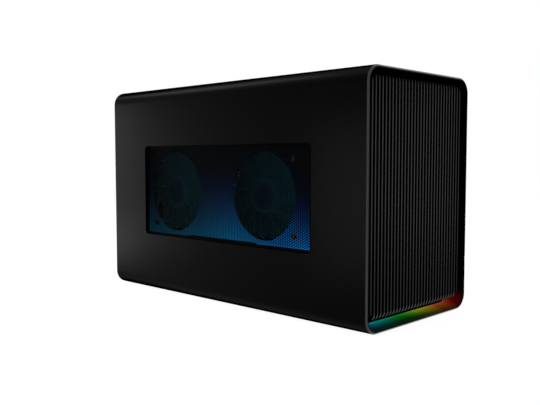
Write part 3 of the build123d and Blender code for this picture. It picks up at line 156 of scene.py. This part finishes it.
FINISHES = {
    "sleeve_metal": Finish(grey(0.0010), 0.30, specular=0.015, grain=2500, vary=0.06, relief=0.004 * MM,
                           fade=(0.48, 0.66), cut_edge=0.5),
    "mesh_metal": Finish(grey(0.0004), 0.6, specular=0.004, grain=2500),
    "grille_metal": Finish(grey(0.0012), 0.35, specular=0.10, grain=2000, relief=0.004 * MM,
                           fade=(0.40, 0.66)),
    "light_plastic": Finish(grey(0.002), 0.5, specular=0.02),
    "circuit": Finish((0.004, 0.010, 0.007), 0.45, grain=400, vary=0.4),
    "lamp_board": Finish(grey(0.002), 0.5, specular=0.02),
    "foot_rubber": Finish(grey(0.008), 0.8, specular=0.2, relief=0.06 * MM),
    "runner_plastic": Finish(grey(0.05), 0.5, specular=0.3),
    "tray_metal": Finish(grey(0.006), 0.5, specular=0.1, grain=1800),
    "screw_steel": Finish(grey(0.03), 0.35, metallic=1.0, grain=1500),
    "port_steel": Finish((0.45, 0.45, 0.44), 0.3, metallic=1.0, stretch=(1.0, 1.0, 0.1)),
    "bracket_steel": Finish(grey(0.30), 0.38, metallic=1.0, stretch=(1.0, 1.0, 0.06)),
    "socket_plastic": Finish(grey(0.008), 0.45, specular=0.3),
    "fan_plastic": Finish((0.0008, 0.0009, 0.0010), 0.5, specular=0.01, grain=700),
    "shroud_plastic": Finish(grey(0.0008), 0.5, specular=0.01, grain=1400),
    "cooler_metal": Finish(grey(0.30), 0.4, metallic=1.0),
    "backplate_metal": Finish(grey(0.008), 0.4, specular=0.2, stretch=(1.0, 0.1, 1.0)),
    "supply_metal": Finish(grey(0.008), 0.55, specular=0.2, grain=1600, relief=0.04 * MM),
    "handle_metal": Finish(grey(0.010), 0.38, specular=0.3, grain=1500),
}
GRAIN_RANGE = (0.3, 0.7)    # where most of the noise lies
CHAMFER_BAND = 0.1          # how far a normal on the chamfer may be off, along Y


def on_chamfer(graph):
    """1 on the front chamfer of the sleeve, whose normal lies halfway between forward and outward."""
    _, rearward, _ = graph.axes("Normal")
    return graph.calc("COMPARE", rearward, -math.sqrt(0.5), CHAMFER_BAND)


def gloss(graph, finish):
    """The specular level of a finish: a number, or an output where it fades or has a cut edge."""
    level = finish.specular
    # painted shade: the gloss fades towards edge-on, which darkens the outlines
    if finish.fade:
        facing = graph.add("ShaderNodeLayerWeight").outputs["Facing"]
        level = graph.remap(facing, *finish.fade, finish.specular, 0.0)
    if finish.cut_edge:
        level = graph.calc("ADD", level, graph.product(on_chamfer(graph), finish.cut_edge))
    return level


def surface(graph, finish):
    """The Principled shader of a finish."""
    grain = graph.noise(finish.grain, finish.stretch)
    shade = graph.remap(grain, *GRAIN_RANGE, 1.0 - finish.vary, 1.0 + finish.vary)
    bump = graph.add("ShaderNodeBump", {"Distance": finish.relief, "Height": grain})
    return graph.add("ShaderNodeBsdfPrincipled", {
        "Base Color": graph.scaled(finish.colour, shade),
        "Roughness": graph.product(shade, finish.roughness),
        "Metallic": finish.metallic,
        "Specular IOR Level": gloss(graph, finish),
        "Normal": bump.outputs[0],
    })


def make_material(name, finish, glow_and_painted_light=None):
    """A procedural material. The third argument, given the graph, gives the colour and strength of its
    emission: for the guide its own light, for other finishes painted light.
    """
    material = bpy.data.materials.new(name + "_finish")
    graph = Graph(material)
    shader = surface(graph, finish)
    if glow_and_painted_light:
        colour, strength = glow_and_painted_light(graph)
        graph.feed(shader.inputs["Emission Color"], colour)
        graph.feed(shader.inputs["Emission Strength"], strength)
    graph.add("ShaderNodeOutputMaterial", {"Surface": shader.outputs[0]})
    return material


# Light of the front guide: its own light on the guide, and painted light on what is next to it
RAINBOW = [                          # from left to right
    (0.00, (0.000, 0.050, 0.130)),
    (0.13, (0.000, 0.090, 0.160)),
    (0.20, (0.000, 0.170, 0.180)),
    (0.31, (0.000, 0.180, 0.100)),
    (0.39, (0.000, 0.170, 0.012)),
    (0.47, (0.001, 0.165, 0.002)),
    (0.55, (0.040, 0.210, 0.000)),
    (0.61, (0.110, 0.250, 0.000)),
    (0.68, (0.190, 0.240, 0.000)),
    (0.76, (0.230, 0.150, 0.000)),
    (0.84, (0.225, 0.045, 0.000)),
    (0.92, (0.220, 0.040, 0.000)),
    (1.00, (0.160, 0.000, 0.000)),
]
GUIDE_LOW, GUIDE_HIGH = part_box("light_guide")
GUIDE_FLOOR = 5.4 * MM               # just above the guide's level stretch
GUIDE_DARK = 20.0 * MM               # where its light has gone, up the corners
PAINTED_REFLECTION_RUN = 9.0 * MM                 # painted reflection: sideways run of the colours from the back to the rim
PALE = (0.006, 0.010, 0.032)         # added next to the lamps
PALE_REACH = 6.0 * MM
RIM_DEPTH = 2.5 * MM                 # of the sleeve's rim, from its front
RIM_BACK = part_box("outer_sleeve")[0].y + RIM_DEPTH

# Changes along the rainbow: between two places, from the first value to the second
FALL_POWER = (0.4, 0.9, 1.8, 0.9)    # how fast the light falls from the back to the rim
RIM_SHARE = (0.6, 0.85, 0.05, 0.15)  # what is left of it at the rim of the guide
RIM_LEVEL = (0.6, 0.85, 0.025, 0.09)  # painted light that falls on the rim of the sleeve

# The fins' lower noses face down and forward, and get painted light from the guide. These are the normal's
# parts along Z and Y at which that light starts and at which it is full.
NOSE_DOWN = (0.0, -0.5)
NOSE_FORWARD = (-0.4, -0.8)
NOSE_LEVEL = 0.09


def guide_colour(graph, x, y):
    """Place from left to right in the rainbow, and its colour there. The place runs sideways from the back to
    the rim, a painted reflection.
    """
    run = graph.remap(y, GUIDE_HIGH.y, GUIDE_LOW.y, 0.0, PAINTED_REFLECTION_RUN)
    along = graph.remap(graph.calc("ADD", x, run), GUIDE_LOW.x, GUIDE_HIGH.x)
    return along, graph.ramp(along, RAINBOW)


def guide_glow(graph):
    """Rainbow, brightest at the guide's back. It reaches further at the right and fades up the corners."""
    x, y, z = graph.axes()
    along, colour = guide_colour(graph, x, y)
    pale = graph.remap(y, GUIDE_HIGH.y - PALE_REACH, GUIDE_HIGH.y)
    behind = graph.remap(y, GUIDE_LOW.y, GUIDE_HIGH.y)
    fall = graph.calc("POWER", behind, graph.remap(along, *FALL_POWER))
    depth = graph.remap(fall, 0.0, 1.0, graph.remap(along, *RIM_SHARE), 1.0)
    climb = graph.remap(z, GUIDE_FLOOR, GUIDE_DARK, 1.0, 0.0)
    return graph.multiply_add(PALE, pale, colour), graph.product(depth, climb)


def painted_rim_light(graph):
    """Painted light of the guide on the rim of the sleeve below it, as emission."""
    x, y, z = graph.axes()
    along, colour = guide_colour(graph, x, y)
    level = graph.remap(along, *RIM_LEVEL)
    front = graph.calc("LESS_THAN", y, RIM_BACK)
    climb = graph.remap(z, GUIDE_FLOOR, 2 * GUIDE_FLOOR, 1.0, 0.0)
    return colour, graph.product(level, front, climb)


def painted_nose_light(graph):
    """Painted highlights of the guide's light on the rounded lower noses of the fins, as emission."""
    _, _, z = graph.axes()
    _, rearward, upward = graph.axes("Normal")
    down = graph.remap(upward, *NOSE_DOWN, 0.0, NOSE_LEVEL)
    forward = graph.remap(rearward, *NOSE_FORWARD)
    return WHITE, graph.product(down, forward, graph.calc("LESS_THAN", z, GUIDE_HIGH.z))


# Painted light of the strip under the left window, on what stands behind that window
PAINTED_STRIP_LIGHT = [                       # at the strip, from the front to the rear
    (0.06, (0.0016, 0.165, 0.520)),
    (0.16, (0.0016, 0.105, 0.340)),
    (0.5, (0.0020, 0.155, 0.350)),
    (0.7, (0.0016, 0.090, 0.180)),
    (1.0, (0.0016, 0.045, 0.080)),
]
WASH_HALF = 115.0 * MM         # half the length of the lit stretch
WASH_FLOOR = 66.0 * MM         # full painted light
WASH_TOP = 165.0 * MM          # painted haze alone
WASH_POWERS = (1.0, 3.7, 2.9)  # how fast red, green and blue fade upward
WASH_STEEP = 78.0 * MM         # ahead of this all fade faster
STEEP_POWER = 2.0              # at the front end
# faint painted haze under the strip's painted light
PAINTED_HAZE = (0.0006, 0.0022, 0.0036)
WASH_FACE = -68.0 * MM         # what lies further out takes all the painted light
WASH_DEPTH = 8.0 * MM          # behind that face the shroud's painted light ends

PAINTED_FAN_LIGHT = [                   # painted light, from a fan's axis, with 1 at its tip
    (0.28, (0.0006, 0.008, 0.025)),
    (0.34, (0.0012, 0.028, 0.037)),
    (0.40, (0.0012, 0.028, 0.037)),
    (0.46, (0.0012, 0.021, 0.028)),
]
AXLES = {joint["name"]: joint["pos_m"] for joint in frame["joints"] if "pos_m" in joint}
_, FAN_FRONT, FAN_Z = AXLES["front_card_fan_spin"]
FAN_STEP = AXLES["rear_card_fan_spin"][1] - FAN_FRONT
FAN_TIP = 43.0 * MM
FAN_DEPTH = 45.0 * MM          # behind the face the painted light of the fans and the cooler ends
FAN_REAR = 0.25                # painted light on the rear edge of a fan, as a share of that on its front edge


def at_window(graph, x, depth):
    """1 on the faces next to the left window, falling to 0 at a depth behind them."""
    return graph.remap(x, WASH_FACE + depth, WASH_FACE)


def painted_shroud_light(graph):
    """Painted light that fades up from the strip, blue at the front and greener at the rear, over a faint
    painted haze.
    """
    x, y, z = graph.axes()
    low = graph.ramp(graph.remap(y, -WASH_HALF, WASH_HALF), PAINTED_STRIP_LIGHT)
    steep = graph.remap(y, -WASH_STEEP, -WASH_HALF, 1.0, STEEP_POWER)
    fade = graph.calc("POWER", graph.remap(z, WASH_TOP, WASH_FLOOR), steep)
    levels = [graph.calc("POWER", fade, power) for power in WASH_POWERS]
    fall = graph.add("ShaderNodeCombineXYZ", dict(enumerate(levels))).outputs[0]
    return graph.multiply_add(low, fall, PAINTED_HAZE), at_window(graph, x, WASH_DEPTH)


def painted_fan_light(graph):
    """Faint painted light on the card fans and the cooler, bluer on the hubs and stronger on the front
    halves.
    """
    x, y, z = graph.axes()
    shifted = graph.calc("ADD", y, FAN_STEP / 2 - FAN_FRONT)
    across = graph.calc("SUBTRACT", graph.calc("FLOORED_MODULO", shifted, FAN_STEP), FAN_STEP / 2)
    above = graph.calc("SUBTRACT", z, FAN_Z)
    spot = graph.add("ShaderNodeCombineXYZ", {0: across, 1: above}).outputs[0]
    radius = graph.add("ShaderNodeVectorMath", {0: spot}, operation="LENGTH").outputs["Value"]
    colour = graph.ramp(graph.calc("DIVIDE", radius, FAN_TIP), PAINTED_FAN_LIGHT)
    side = graph.remap(across, -FAN_TIP, FAN_TIP, 1.0, FAN_REAR)
    return colour, graph.product(side, at_window(graph, x, FAN_DEPTH))


# emission of each finish: the guide's own light, and painted light on the sleeve rim, fin noses, shroud, fans
# and cooler
GLOWS_AND_PAINTED_LIGHTS = {
    "light_plastic": guide_glow,
    "sleeve_metal": painted_rim_light,
    "grille_metal": painted_nose_light,
    "shroud_plastic": painted_shroud_light,
    "fan_plastic": painted_fan_light,
    "cooler_metal": painted_fan_light,
}


def add_object(name, data):
    """A new object in the scene, of a mesh, light or camera."""
    thing = bpy.data.objects.new(name, data)
    bpy.context.scene.collection.objects.link(thing)
    return thing


def add_mesh(name, points, faces, material):
    mesh = bpy.data.meshes.new(name)
    mesh.from_pydata(points, [], faces)
    mesh.materials.append(material)
    return add_object(name, mesh)


# Window mesh: flat-topped hexagons in upright columns
HEX_CORNERS = ((2, 0), (1, 1), (-1, 1), (-2, 0), (-1, -1), (1, -1))  # in thirds of a column and half rows
HEX_PITCH = 2.43 * MM       # up a column
HEX_COLUMN = 2.27 * MM      # from column to column
HEX_OPEN = 0.65             # width of a hole, as a share of its cell's
HEX_T = 0.35 * MM
HEX_DISH = 0.45             # pressed edge of a hole, as a share of the sheet's thickness
PLAIN_EDGE = 9.0 * MM       # width of the sheet's edge, most of it behind the sleeve
FIELD_LAP = 1.5 * MM        # how far the middle of a hole may lie under that edge
FIELD_INSET = 0.05 * MM     # how far the perforated field lies behind the outer face of that edge


def hex_field(columns, rows):
    """Cells of the mesh as (column, half rows) numbers, centred on the window."""
    for i in range(-columns, columns + 1):
        for j in range(-rows, rows + 1):
            yield i, 2 * j + i % 2


def around(count):
    """Each number below count with the next one, back to 0 after the last."""
    return [(n, (n + 1) % count) for n in range(count)]


def perforated(outer, inner, middle, half):
    """Vertices and faces of the perforated field between the planes x = outer and x = inner."""
    unit_y = HEX_COLUMN / 3
    unit_z = HEX_PITCH / 2
    lip = outer + HEX_DISH * (inner - outer)
    columns = int((half.y + FIELD_LAP) / HEX_COLUMN)
    rows = int((half.z + FIELD_LAP) / HEX_PITCH)
    points, faces, corners, walls = [], [], {}, {}

    def add_pair(x, u, v):
        """Adds a point at x and one behind it on the inner plane, and gives the first one's number."""
        y = middle.y + u * unit_y
        z = middle.z + v * unit_z
        points.extend([(x, y, z), (inner, y, z)])
        return len(points) - 2

    for i, k in hex_field(columns, rows):
        rim, hole = [], []
        for du, dv in HEX_CORNERS:
            key = (3 * i + du, k + dv)
            if key not in corners:
                corners[key] = add_pair(outer, *key)
            rim.append(corners[key])
            hole.append(add_pair(lip, 3 * i + HEX_OPEN * du, k + HEX_OPEN * dv))
        for n, after in around(len(HEX_CORNERS)):
            a, b, c, d = rim[n], rim[after], hole[after], hole[n]
            faces += [(a, b, c, d), (d + 1, c + 1, b + 1, a + 1), (d, c, c + 1, d + 1)]
            edge = frozenset((a, b))
            walls[edge] = None if edge in walls else (b, a, a + 1, b + 1)
    faces += [wall for wall in walls.values() if wall]  # where no other cell follows
    return points, faces


def rectangle(middle, half):
    """The (y, z) corners of an upright rectangle."""
    return [(middle.y + y * half.y, middle.z + z * half.z) for y, z in SQUARE]


def edge_plate(outer, inner, sheet, opening):
    """Vertices and faces of the plain edge, from the corners of the sheet to those of its opening."""
    points = [(x, y, z) for x in (outer, inner) for loop in (sheet, opening) for y, z in loop]
    count = len(sheet)
    rim, hole, inner_rim, inner_hole = (range(first, first + count) for first in range(0, len(points), count))
    faces = []
    for n, after in around(count):
        faces.append((rim[n], rim[after], hole[after], hole[n]))
        faces.append((inner_rim[after], inner_rim[n], inner_hole[n], inner_hole[after]))
        faces.append((rim[after], rim[n], inner_rim[n], inner_rim[after]))
        faces.append((hole[n], hole[after], inner_hole[after], inner_hole[n]))
    return points, faces


def window_mesh(node, side, material):
    """A fine perforated sheet in the place of the coarse one of the CAD node. side is -1 left, 1 right."""
    low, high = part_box(node)
    outer, inner = (low.x, high.x) if side < 0 else (high.x, low.x)
    middle = (low + high) / 2
    half = (high - low) / 2
    half_open = half - Vector((0.0, PLAIN_EDGE, PLAIN_EDGE))
    front = outer - side * FIELD_INSET
    points, faces = perforated(front, front - side * HEX_T, middle, half_open)
    opening = rectangle(middle, half_open)
    plate_points, plate_faces = edge_plate(outer, inner, rectangle(middle, half), opening)
    first = len(points)
    faces += [tuple(first + n for n in face) for face in plate_faces]
    piece = add_mesh(node + "_fine", points + plate_points, faces, material)
    if side > 0:
        piece.data.flip_normals()
    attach(piece, "sleeve")
    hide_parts(node)


# Studio
AMBIENT = 0.25              # world light on matt surfaces
FLOOR_HALF = 6.0
FLOOR_COLOUR = grey(0.8)
FLOOR_GRAIN = 40.0
FLOOR_SPECK = 0.98          # the floor's darkest specks
FLOOR_GLOW = 0.94           # plain white in the floor where it is seen directly
FLOOR_MATT = 0.3            # share of the floor's own shading, with the object's shadow, in that view


def seen_directly(graph):
    """1 for rays from the camera, mirrors and clear surfaces, else 0."""
    path = graph.add("ShaderNodeLightPath").outputs
    seen = graph.calc("MAXIMUM", path["Is Camera Ray"], path["Is Glossy Ray"])
    return graph.calc("MAXIMUM", seen, path["Is Transmission Ray"])


def build_world():
    """White where it is seen directly, and a weaker light on all else."""
    world = bpy.data.worlds.new("studio")
    bpy.context.scene.world = world
    graph = Graph(world)
    strength = graph.remap(seen_directly(graph), 0.0, 1.0, AMBIENT, 1.0)
    background = graph.add("ShaderNodeBackground", {"Color": WHITE, "Strength": strength})
    graph.add("ShaderNodeOutputWorld", {"Surface": background.outputs[0]})


def floor_material():
    """Matt floor that looks nearly white and keeps the object's shadow."""
    material = bpy.data.materials.new("floor_finish")
    graph = Graph(material)
    speck = graph.remap(graph.noise(FLOOR_GRAIN), 0.0, 1.0, FLOOR_SPECK, 1.0)
    matt = graph.add("ShaderNodeBsdfDiffuse", {"Color": graph.scaled(FLOOR_COLOUR, speck)})
    white_share = 1.0 - FLOOR_MATT
    white = graph.add("ShaderNodeEmission", {"Color": WHITE, "Strength": FLOOR_GLOW / white_share})
    share = graph.product(seen_directly(graph), white_share)
    mixed = graph.add("ShaderNodeMixShader", {0: share, 1: matt.outputs[0], 2: white.outputs[0]})
    graph.add("ShaderNodeOutputMaterial", {"Surface": mixed.outputs[0]})
    return material


def build_floor():
    points = [(x * FLOOR_HALF, y * FLOOR_HALF, 0.0) for x, y in SQUARE]
    floor = add_mesh("floor", points, [(0, 1, 2, 3)], floor_material())


@dataclass(frozen=True)
class Lamp:
    """A rectangular light at a place, aimed at a point.

    spread is the angle in degrees that its grid lets out.
    """

    at: tuple
    aim: tuple
    size: tuple
    watts: float
    spread: float = 180.0


SIDE_LAMPS = {              # at the left side, and mirrored at the right
    "rear": Lamp((-0.16, 0.36, 0.095), (-0.18, 0.10, 0.08), (0.10, 0.28), 0.34, spread=80.0),
    "low": Lamp((-0.16, 0.36, 0.03), (-0.18, 0.10, 0.03), (0.10, 0.06), 0.045, spread=80.0),
    "front": Lamp((-0.40, 0.03, 0.075), (-0.084, -0.187, 0.05), (0.14, 0.24), 0.72),
}
LAMPS = {
    "top_left": Lamp((-0.9, 0.0, 1.4), (-0.05, 0.0, 0.22), (0.5, 1.2), 3.0),
    "top_rear": Lamp((-0.33, 1.08, 1.17), (-0.08, 0.0, 0.22), (0.35, 0.6), 4.5),
    "front": Lamp((0.40, -0.48, 0.14), (0.0, -0.18, 0.10), (0.2, 0.28), 0.32),
}


def mirrored(lamp):
    """The same light at the other side of the part."""
    (x, y, z), (u, v, w) = lamp.at, lamp.aim
    return replace(lamp, at=(-x, y, z), aim=(-u, v, w))


def add_lamp(name, lamp):
    light = bpy.data.lights.new(name, "AREA")
    light.shape = "RECTANGLE"
    light.size, light.size_y = lamp.size
    light.energy = lamp.watts
    light.spread = math.radians(lamp.spread)
    holder = add_object(name, light)
    holder.location = lamp.at
    holder.rotation_mode = "QUATERNION"
    holder.rotation_quaternion = (Vector(lamp.aim) - Vector(lamp.at)).to_track_quat("-Z", "Y")
    holder.visible_camera = False


# Camera, fitted to the photo
CAMERA_AT = Vector((-0.54621, -0.52242, 0.15235))
CAMERA_YAW = math.radians(45.88)
CAMERA_PITCH = math.radians(-3.70)
CAMERA_ROLL = math.radians(-0.04)
SENSOR_WIDTH = 36.0         # in millimetres, as the lens
LENS = 45.48
CLIP_START = 10.0 * MM


def add_camera():
    data = bpy.data.cameras.new("camera")
    data.sensor_width = SENSOR_WIDTH
    data.lens = LENS
    data.clip_start = CLIP_START
    camera = add_object("camera", data)
    turn = Matrix.Rotation(-CAMERA_YAW, 4, "Z") @ Matrix.Rotation(math.pi / 2 + CAMERA_PITCH, 4, "X")
    camera.matrix_world = Matrix.Translation(CAMERA_AT) @ turn @ Matrix.Rotation(CAMERA_ROLL, 4, "Z")
    bpy.context.scene.camera = camera


materials = {name: make_material(name, finish, GLOWS_AND_PAINTED_LIGHTS.get(name)) for name, finish in FINISHES.items()}
for node in frame["nodes"].values():
    for holder in node.material_slots:
        holder.material = materials[holder.material.name]
window_mesh("left_mesh", -1, materials["mesh_metal"])
window_mesh("right_mesh", 1, materials["mesh_metal"])
for lamp_name, lamp in SIDE_LAMPS.items():
    add_lamp(lamp_name + "_left", lamp)
    add_lamp(lamp_name + "_right", mirrored(lamp))
for lamp_name, lamp in LAMPS.items():
    add_lamp(lamp_name, lamp)
build_world()
build_floor()
add_camera()
bpy.context.scene.view_settings.view_transform = "Standard"
